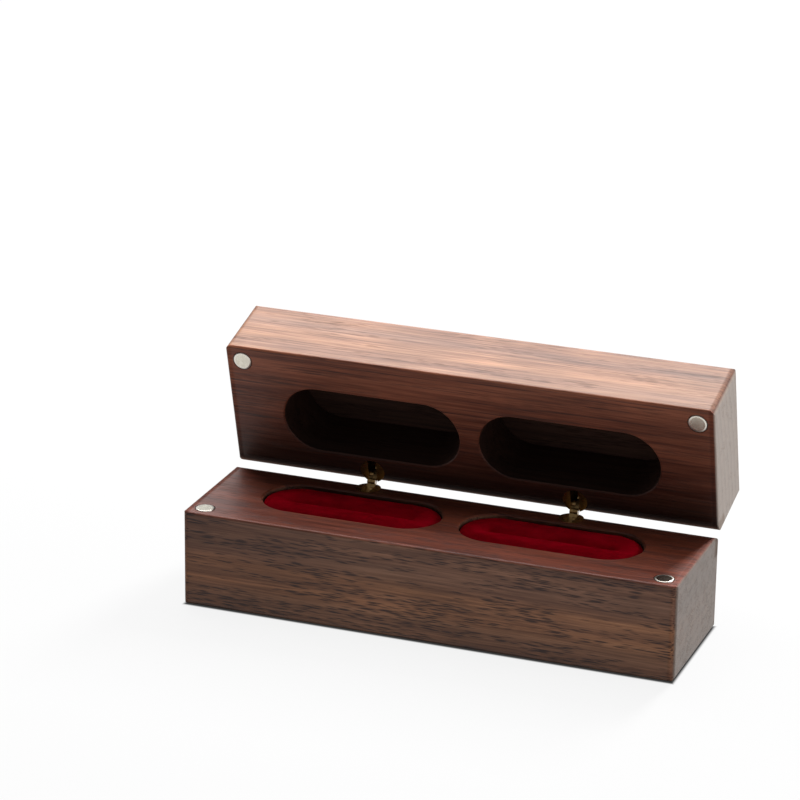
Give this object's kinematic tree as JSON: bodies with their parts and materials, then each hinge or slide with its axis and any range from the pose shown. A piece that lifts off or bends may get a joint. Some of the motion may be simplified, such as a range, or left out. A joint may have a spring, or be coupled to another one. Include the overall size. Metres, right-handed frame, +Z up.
{
  "type": "ring display box",
  "caption": "Long wooden ring box, open: a base with velvet slit pads and a deep-recessed lid that closes over them on concealed barrel hinges, held by corner magnets.",
  "frame": {"origin": "centre of the base's underside, which stands on the table", "axes": "+X along the box to its right end, +Y from the front to the hinge side, +Z up"},
  "size_m": [0.1, 0.0436, 0.0509],
  "materials": {
    "base_walnut": "satin",
    "lid_walnut": "satin",
    "red_velvet": "matte pile",
    "pad_foam": "matte",
    "nickel_plate": "polished",
    "brass": "satin",
    "steel_pin": "satin"
  },
  "bodies": {
    "base": {"base_block": "base_walnut", "left_pad_foam": "pad_foam", "right_pad_foam": "pad_foam", "left_pad_cover": "red_velvet", "right_pad_cover": "red_velvet", "left_base_magnet": "nickel_plate", "right_base_magnet": "nickel_plate", "left_base_barrel": "brass", "right_base_barrel": "brass", "left_base_arm_pin": "steel_pin", "right_base_arm_pin": "steel_pin"},
    "lid": {"lid_block": "lid_walnut", "left_lid_magnet": "nickel_plate", "right_lid_magnet": "nickel_plate", "left_lid_barrel": "brass", "right_lid_barrel": "brass", "left_lid_arm_pin": "steel_pin", "right_lid_arm_pin": "steel_pin"},
    "base_arms": {"left_base_arm": "brass", "right_base_arm": "brass", "left_base_arm_guide": "steel_pin", "right_base_arm_guide": "steel_pin", "left_centre_pin": "steel_pin", "right_centre_pin": "steel_pin"},
    "lid_arms": {"left_lid_arm": "brass", "right_lid_arm": "brass", "left_lid_arm_guide": "steel_pin", "right_lid_arm_guide": "steel_pin"}
  },
  "joints": [
    {"name": "lid_hinge", "type": "hinge", "parent": "base", "child": "lid", "pos_m": [0, 0.0137, 0.0197], "axis": [-1, 0, 0], "range_deg": [-75, 20]},
    {"name": "base_arm_pivot", "type": "hinge", "parent": "base", "child": "base_arms", "pos_m": [0, 0.01235, 0.0187], "axis": [-1, 0, 0], "range_deg": [-75, 20]},
    {"name": "lid_arm_pivot", "type": "hinge", "parent": "lid", "child": "lid_arms", "pos_m": [0, 0.01432, 0.02126], "axis": [-1, 0, 0], "range_deg": [-20, 75]}
  ],
  "couplings": [
    {"joint": "base_arm_pivot", "follows": "lid_hinge", "ratio": 1},
    {"joint": "lid_arm_pivot", "follows": "lid_hinge", "ratio": -1}
  ]
}
